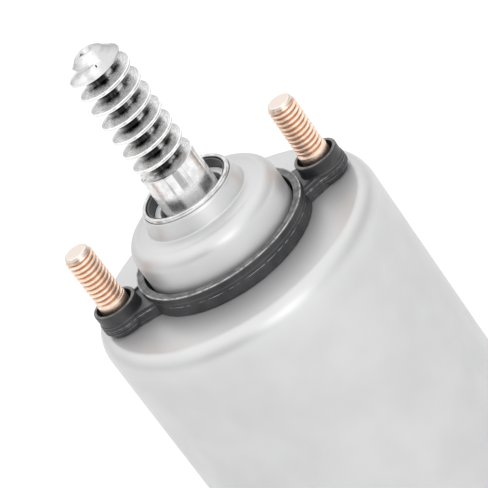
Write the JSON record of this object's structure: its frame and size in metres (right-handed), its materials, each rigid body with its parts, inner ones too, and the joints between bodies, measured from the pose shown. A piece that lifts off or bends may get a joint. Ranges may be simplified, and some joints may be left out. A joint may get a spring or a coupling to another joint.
{
  "type": "servo motor with worm shaft",
  "caption": "Cylindrical brushed servo motor with a worm on its shaft, a stepped nose, a rubber flange gasket and copper-plated through-bolts.",
  "frame": {"origin": "centre of the rear cover's flat outer face, on the shaft axis", "axes": "+Z along the shaft from the rear cover to the worm, X through the centres of both through-bolts, +Y towards the electrical connector"},
  "size_m": [0.0624, 0.0802, 0.1346],
  "materials": {
    "can_steel": "satin, zinc-grey, softly reflecting",
    "polished_steel": "bright drawn steel",
    "shaft_steel": "ground and polished",
    "copper_plated_steel": "copper-plated thread, satin",
    "black_rubber": "moulded, matte",
    "spring_steel": "blued, satin",
    "bearing_steel": "ground",
    "ferrite": "sintered, dull",
    "lamination_steel": "stamped laminations",
    "copper_wire": "enamelled copper",
    "slot_insulation": "matte sheet",
    "black_plastic": "fine moulded texture",
    "cast_aluminium": "die-cast, satin",
    "brass": "stamped sheet",
    "carbon": "pressed carbon"
  },
  "bodies": {
    "housing": {"motor_can": "can_steel", "profile_gasket": "black_rubber", "seal_case": "polished_steel", "seal_lip": "black_rubber", "seal_inner_ring": "bearing_steel", "garter_spring": "spring_steel", "front_bearing_outer_ring": "bearing_steel", "rear_bearing_outer_ring": "bearing_steel", "bearing_retainer": "spring_steel", "wave_washer": "spring_steel", "magnet_1": "ferrite", "magnet_2": "ferrite", "magnet_3": "ferrite", "magnet_4": "ferrite", "magnet_spring_front_side": "spring_steel", "magnet_spring_back_side": "spring_steel", "brush_plate": "black_plastic", "brush_holder_1": "brass", "brush_holder_2": "brass", "brush_spring_1": "spring_steel", "brush_spring_2": "spring_steel", "choke_1": "copper_wire", "choke_2": "copper_wire", "end_cover": "cast_aluminium", "cover_seal_ring": "black_rubber", "connector_housing": "black_plastic", "connector_seal": "black_rubber", "terminal_1": "brass", "terminal_2": "brass"},
    "rotor": {"worm_shaft": "shaft_steel", "shaft_spacer": "bearing_steel", "shaft_circlip": "spring_steel", "front_bearing_inner_ring": "bearing_steel", "rear_bearing_inner_ring": "bearing_steel", "rotor_core": "lamination_steel", "rear_slot_insulator": "slot_insulation", "front_slot_insulator": "slot_insulation", "armature_winding": "copper_wire", "commutator": "copper_wire"},
    "front_cage": {"front_bearing_ball_cage": "brass"},
    "rear_cage": {"rear_bearing_ball_cage": "brass"},
    "brush_1": {"carbon_brush_1": "carbon"},
    "brush_2": {"carbon_brush_2": "carbon"},
    "bolt_left": {"through_bolt_left": "copper_plated_steel"},
    "bolt_right": {"through_bolt_right": "copper_plated_steel"}
  },
  "joints": [
    {"name": "rotor_spin", "type": "hinge", "parent": "housing", "child": "rotor", "pos_m": [0, 0, 0.084], "axis": [0, 0, 1], "continuous": true},
    {"name": "front_cage_spin", "type": "hinge", "parent": "housing", "child": "front_cage", "pos_m": [0, 0, 0.0876], "axis": [0, 0, 1], "continuous": true},
    {"name": "rear_cage_spin", "type": "hinge", "parent": "housing", "child": "rear_cage", "pos_m": [0, 0, 0.0075], "axis": [0, 0, 1], "continuous": true},
    {"name": "brush_1_slide", "type": "slide", "parent": "housing", "child": "brush_1", "axis": [0.7071, 0.7071, 0], "range_m": [0, 0.001], "stiffness_N_per_m": 50, "deforming": ["brush_spring_1"]},
    {"name": "brush_2_slide", "type": "slide", "parent": "housing", "child": "brush_2", "axis": [-0.7071, 0.7071, 0], "range_m": [0, 0.001], "stiffness_N_per_m": 50, "deforming": ["brush_spring_2"]},
    {"name": "bolt_left_turn", "type": "hinge", "parent": "housing", "child": "bolt_left", "pos_m": [-0.024, 0, 0.05], "axis": [0, 0, 1], "continuous": true},
    {"name": "bolt_right_turn", "type": "hinge", "parent": "housing", "child": "bolt_right", "pos_m": [0.024, 0, 0.05], "axis": [0, 0, 1], "continuous": true}
  ],
  "couplings": [
    {"joint": "front_cage_spin", "follows": "rotor_spin", "ratio": 0.395},
    {"joint": "rear_cage_spin", "follows": "rotor_spin", "ratio": 0.3833}
  ]
}
